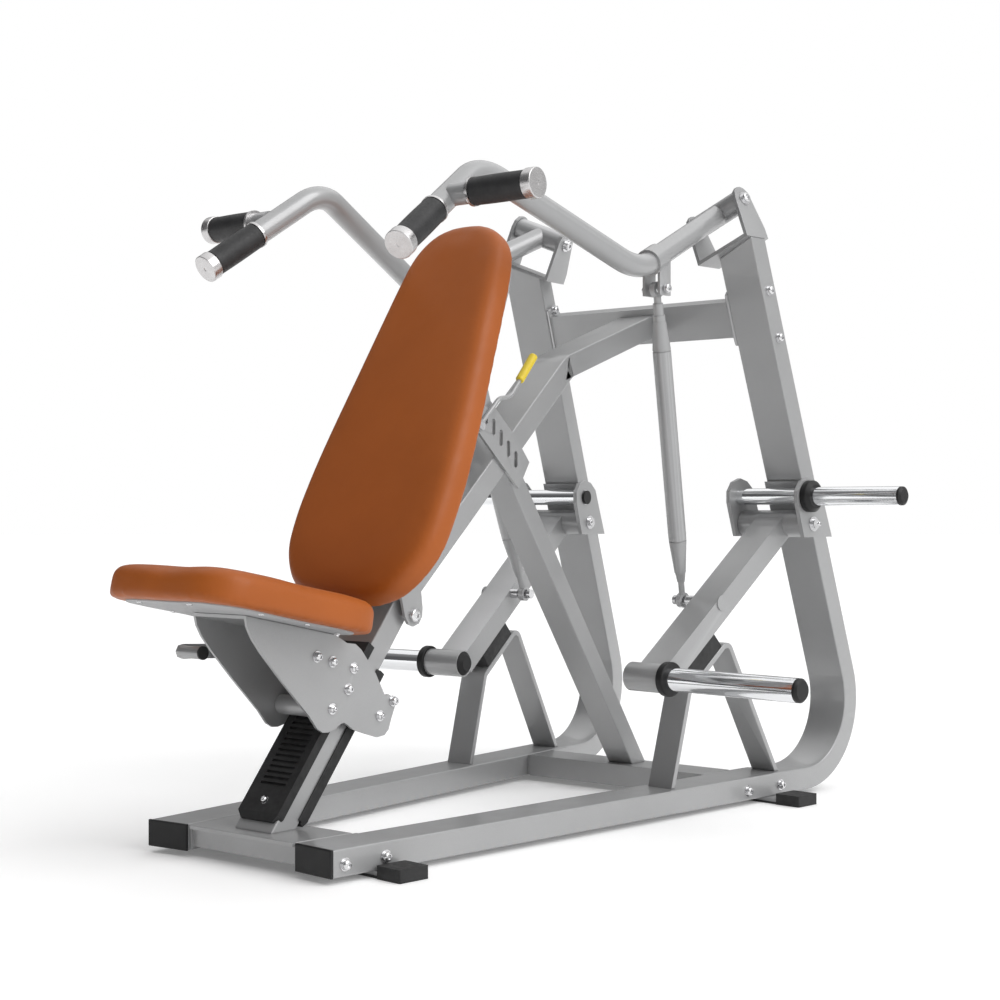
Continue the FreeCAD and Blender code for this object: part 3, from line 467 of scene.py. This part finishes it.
def turn(shape, at, axis, rows):
    """Closed skin round an axis. A row has (distance along the axis, radius) for each step round it."""
    side, other = round_axes(axis)
    rings = []
    for row in rows:
        ring = []
        for i, (along, r) in enumerate(row):
            a = 2 * math.pi * i / len(row)
            spoke = side * math.cos(a) + other * math.sin(a)
            ring.append(shape.verts.new(at + axis * along + spoke * r))
        rings.append(ring)
    for low, high in zip(rings, rings[1:]):
        for i in range(len(low)):
            j = (i + 1) % len(low)
            shape.faces.new((low[i], low[j], high[j], high[i]))
    shape.faces.new(list(reversed(rings[0])))
    shape.faces.new(rings[-1])


def islands(node):
    """Points of each separate solid in a CAD node."""
    shape = bmesh.new()
    shape.from_mesh(nodes[node].data)
    bmesh.ops.remove_doubles(shape, verts=shape.verts, dist=WELD_GAP)
    seen = set()
    groups = []
    for start in shape.verts:
        if start.index in seen:
            continue
        stack = [start]
        seen.add(start.index)
        group = []
        while stack:
            v = stack.pop()
            group.append(v.co.copy())
            for edge in v.link_edges:
                other = edge.other_vert(v)
                if other.index not in seen:
                    seen.add(other.index)
                    stack.append(other)
        groups.append(group)
    shape.free()
    return groups


# ---- cushions ----

FULL_VOXEL = 0.006
HELD_BAND = 0.016
CLOTH_FRAMES = 20
SWELL_LIMIT = 0.005
EVEN_PASSES = 24
END_GAPS = (-0.003, 0.006)
LIFT = 0.003


def pad_base(node, up):
    """Height of a pad's flat base along its up direction."""
    return min(v.co.dot(up) for v in nodes[node].data.vertices)


def evened(moves, edges):
    """Each point's move averaged with its neighbours' moves, again and again."""
    near = [[] for _ in moves]
    for edge in edges:
        a, b = edge.vertices
        near[a].append(b)
        near[b].append(a)
    for _ in range(EVEN_PASSES):
        rings = [sum((moves[j] for j in ring), Vector()) for ring in near]
        moves = [(own + around) / (len(ring) + 1) for own, around, ring in zip(moves, rings, near)]
    return moves


def inflate(mesh, up, base):
    """Cloth with air pressure inside: the cover swells everywhere but on its board, without creases."""
    obj = linked("inflating", mesh)
    held = obj.vertex_groups.new(name="board")
    held.add([v.index for v in mesh.vertices if v.co.dot(up) < base + HELD_BAND], 1.0, "REPLACE")
    before = [v.co.copy() for v in mesh.vertices]
    cloth = obj.modifiers.new("cloth", "CLOTH")
    cloth.settings.quality = 5
    cloth.settings.use_pressure = True
    cloth.settings.uniform_pressure_force = 3.0
    cloth.settings.tension_stiffness = 25.0
    cloth.settings.compression_stiffness = 25.0
    cloth.settings.bending_stiffness = 14.0
    cloth.settings.vertex_group_mass = "board"
    cloth.settings.effector_weights.gravity = 0.0
    cloth.point_cache.frame_start = 1
    cloth.point_cache.frame_end = CLOTH_FRAMES
    for number in range(1, CLOTH_FRAMES + 1):
        bpy.context.scene.frame_set(number)
    result = evaluated_mesh(obj)
    moves = []
    for vertex, start in zip(result.vertices, before):
        moved = vertex.co - start
        if moved.length > SWELL_LIMIT:
            moved = moved * (SWELL_LIMIT / moved.length)
        moves.append(moved)
    for vertex, start, moved in zip(result.vertices, before, evened(moves, result.edges)):
        vertex.co = start + moved
    bpy.data.objects.remove(obj)
    bpy.context.scene.frame_set(1)
    return result


def fit_to_node(mesh, node, up, side_gap):
    """Stretch a cover in its own axes to the size of its CAD pad, and seat it on its board."""
    gaps = ((ACROSS, -side_gap, side_gap), (up.cross(ACROSS), *END_GAPS), (up, LIFT, LIFT))
    for axis, low_gap, high_gap in gaps:
        want = [v.co.dot(axis) for v in nodes[node].data.vertices]
        have = [v.co.dot(axis) for v in mesh.vertices]
        low, high = min(want) + low_gap, max(want) + high_gap
        low_now, high_now = min(have), max(have)
        scale = (high - low) / (high_now - low_now)
        for vertex, value in zip(mesh.vertices, have):
            vertex.co += axis * (low + (value - low_now) * scale - value)


def cushion(node, name, up, side_gap):
    """Stuffed cover over a board: a crowned closed form with large soft edges."""
    voxel = FULL_VOXEL
    skin = modified(nodes[node].data.copy(), ("WELD", {"merge_threshold": 0.0002}),
                    ("REMESH", {"mode": "VOXEL", "voxel_size": voxel}),
                    ("SMOOTH", {"factor": 0.5, "iterations": 6}))
    skin = inflate(skin, up, pad_base(node, up))
    skin = modified(skin, ("SMOOTH", {"factor": 0.5, "iterations": 5}), ("SUBSURF", {"levels": 1}),
                    ("SMOOTH", {"factor": 0.5, "iterations": 8}))
    fit_to_node(skin, node, up, side_gap)
    smooth(skin)
    piece = add_piece(name, skin, body_of[node], SLOT_MATERIALS["pad_leather"])
    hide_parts(node)


# ---- screws and boards ----

HEAD_STEPS = 24
# Outline of a button head, as shares of its height and radius.
HEAD_PROFILE = [(0.0, 1.0), (0.35, 1.0), (0.62, 0.95), (0.82, 0.85), (0.95, 0.71), (1.0, 0.60)]
SOCKET_SHARE = 0.42
SCREW_SHARP = 30
END_BAND = 0.0004
SHORT_SCREW = 0.014
# Over a screw: its CAD end is 0.6 of the head's radius; sunk depth, margin, height and socket floor.
CAD_END_SHARE = 0.6
HEAD_SINK = 0.0055
HEAD_MARGIN = 0.0005
HEAD_HEIGHT = 0.0078
HEAD_FLOOR = 0.74
# On the end of a pin: sunk depth, size against the pin, height and socket floor.
PIN_SINK = 0.0015
PIN_GROWTH = 1.04
PIN_HEIGHT = 0.0045
PIN_FLOOR = 0.45
BOARD_THICK = 0.008
BOARD_LIFT = 0.0004
BOARD_EDGE = 0.0012
BASE_BAND = 0.012
OUTLINE_STEPS = 72
TACK_RADIUS = 0.0055
TACK_HEIGHT = 0.0026
TACK_FLOOR = 0.4
TACK_INSET = 0.016
TACK_LIFT = 0.0006


def screw_head(shape, at, axis, r, h, floor):
    """Button head with a hexagon socket; `floor` is the socket's bottom as a share of the height."""
    rows = [[(z * h, k * r)] * HEAD_STEPS for z, k in HEAD_PROFILE]
    socket = []
    for i in range(HEAD_STEPS):
        from_flat = (2 * math.pi * i / HEAD_STEPS + math.pi / 6) % (math.pi / 3) - math.pi / 6
        socket.append(SOCKET_SHARE * r / math.cos(from_flat))
    for z in (1.0, floor):
        rows.append([(z * h, reach) for reach in socket])
    turn(shape, at, axis.normalized(), rows)


def end_ring(points, axis):
    """Centre and radius of the far end of a turned solid."""
    far = max(p.dot(axis) for p in points)
    ring = [p for p in points if p.dot(axis) > far - END_BAND]
    centre = axis * far
    for v in round_axes(axis):
        spread = [p.dot(v) for p in ring]
        centre += v * (min(spread) + max(spread)) / 2
    return centre, max((p - centre).length for p in ring)


def add_screws(node, name, axes, body):
    """A socket head over every screw and pin end of a CAD node."""
    shape = bmesh.new()
    for points in islands(node):
        lengths = [max(p.dot(a) for p in points) - min(p.dot(a) for p in points) for a in axes]
        if min(lengths) < SHORT_SCREW:
            axis = axes[lengths.index(min(lengths))]
            first, r0 = end_ring(points, axis)
            last, r1 = end_ring(points, -axis)
            if r0 > r1:
                axis, first, r0 = -axis, last, r1
            r = r0 / CAD_END_SHARE + HEAD_MARGIN
            screw_head(shape, first - axis * HEAD_SINK, axis, r, HEAD_HEIGHT, HEAD_FLOOR)
        else:
            axis = axes[lengths.index(max(lengths))]
            for a in (axis, -axis):
                end, r = end_ring(points, a)
                screw_head(shape, end - a * PIN_SINK, a, r * PIN_GROWTH, PIN_HEIGHT, PIN_FLOOR)
    add_turned(name, shape, body, SLOT_MATERIALS["bolt_steel"], SCREW_SHARP)


def base_outline(node, up, base):
    """Corner points of a pad's flat base, in order, with the plane's two axes and centre."""
    along = up.cross(ACROSS)
    spots = [v.co for v in nodes[node].data.vertices if v.co.dot(up) < base + BASE_BAND]
    centre = sum(spots, Vector()) / len(spots)
    centre += up * (base - centre.dot(up))
    reach = [0.0] * OUTLINE_STEPS
    for spot in spots:
        x, y = (spot - centre).dot(ACROSS), (spot - centre).dot(along)
        sector = int((math.atan2(y, x) + math.pi) / (2 * math.pi) * OUTLINE_STEPS) % OUTLINE_STEPS
        reach[sector] = max(reach[sector], math.hypot(x, y))
    points = []
    for i, r in enumerate(reach):
        if r > 0:
            angle = (i + 0.5) / OUTLINE_STEPS * 2 * math.pi - math.pi
            points.append((r * math.cos(angle), r * math.sin(angle)))
    return centre, along, points


def backing(node, name, up, inset):
    """Board under a cushion, with its row of small screws."""
    centre, along, points = base_outline(node, up, pad_base(node, up))

    def inside(x, y, gap, lift):
        k = 1 - gap / math.hypot(x, y)
        return centre + ACROSS * (x * k) + along * (y * k) + up * lift

    shape = bmesh.new()
    face = shape.faces.new([shape.verts.new(inside(x, y, inset, BOARD_LIFT)) for x, y in points])
    grown = bmesh.ops.extrude_face_region(shape, geom=[face])
    moved = [g for g in grown["geom"] if isinstance(g, bmesh.types.BMVert)]
    bmesh.ops.translate(shape, verts=moved, vec=up * BOARD_THICK)
    obj = add_piece(name, drawn(name, shape), body_of[node], BOARD)
    edge = obj.modifiers.new("round", "BEVEL")
    edge.width = BOARD_EDGE
    edge.segments = 2
    screws = bmesh.new()
    for x, y in points[3::9]:
        at = inside(x, y, inset + TACK_INSET, TACK_LIFT)
        screw_head(screws, at, -up, TACK_RADIUS, TACK_HEIGHT, TACK_FLOOR)
    steel = SLOT_MATERIALS["bolt_steel"]
    add_turned(name + "_screws", screws, body_of[node], steel, SCREW_SHARP)


# ---- grips ----

# Rolled lip of a sleeve: distance from its end, and what it adds to the sleeve's radius.
LIP = [(0.0, -0.0040), (0.0004, -0.0014), (0.0014, 0.0), (0.0034, 0.0006), (0.0064, 0.0002), (0.0090, 0.0)]
LIP_LENGTH = LIP[-1][0]
SLEEVE_OVER = 0.0002
SLEEVE_CROWN = 0.0005
SLEEVE_PARTS = 12
SLEEVE_STEPS = 64
SLEEVE_SHARP = 40


def long_axis(points):
    """Axis of a turned solid that is longer than it is wide, and its middle."""
    middle = sum(points, Vector()) / len(points)
    guess = Vector((1.0, 0.3, 0.2))
    for _ in range(60):
        grown = Vector()
        for p in points:
            grown += (p - middle) * (p - middle).dot(guess)
        guess = grown.normalized()
    return guess, middle


def grip_sleeves(node, name):
    """Rubber sleeves with rolled lips, turned round the CAD sleeves' axes."""
    shape = bmesh.new()
    for points in islands(node):
        axis, middle = long_axis(points)
        reach = [(p - middle).dot(axis) for p in points]
        start = min(reach) - SLEEVE_OVER
        length = max(reach) - start + SLEEVE_OVER
        outer = max(((p - middle) - axis * (p - middle).dot(axis)).length for p in points)
        profile = [(a, outer + dr) for a, dr in LIP]
        for i in range(1, SLEEVE_PARTS):
            share = i / SLEEVE_PARTS
            along = LIP_LENGTH + (length - 2 * LIP_LENGTH) * share
            profile.append((along, outer + SLEEVE_CROWN * math.sin(math.pi * share)))
        profile += [(length - a, outer + dr) for a, dr in reversed(LIP)]
        turn(shape, middle + axis * start, axis, [[point] * SLEEVE_STEPS for point in profile])
    piece = add_turned(name, shape, body_of[node], GRIP, SLEEVE_SHARP)
    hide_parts(node)


# ---- the scene ----

add_camera()
bpy.context.scene.view_settings.view_transform = "Standard"
add_world()
soft_sun("key", (0.8, 0.1, 0.6), 1.7, 50.0)
soft_sun("top", (-0.1, 0.25, 1.0), 1.0, 90.0)
add_floor()
dress_nodes()
soften_edges()
cushion("seat_pad", "seat_cushion", SEAT_UP, side_gap=0.007)
cushion("back_pad", "back_cushion", BACK_OUT, side_gap=0.011)
backing("seat_pad", "seat_board", SEAT_UP, inset=0.026)
backing("back_pad", "back_board", BACK_OUT, inset=0.020)
grip_sleeves("grips_r", "grip_sleeves_r")
grip_sleeves("grips_l", "grip_sleeves_l")
for node_name, piece_name, directions in SCREWS:
    add_screws(node_name, piece_name, directions, body_of[node_name])
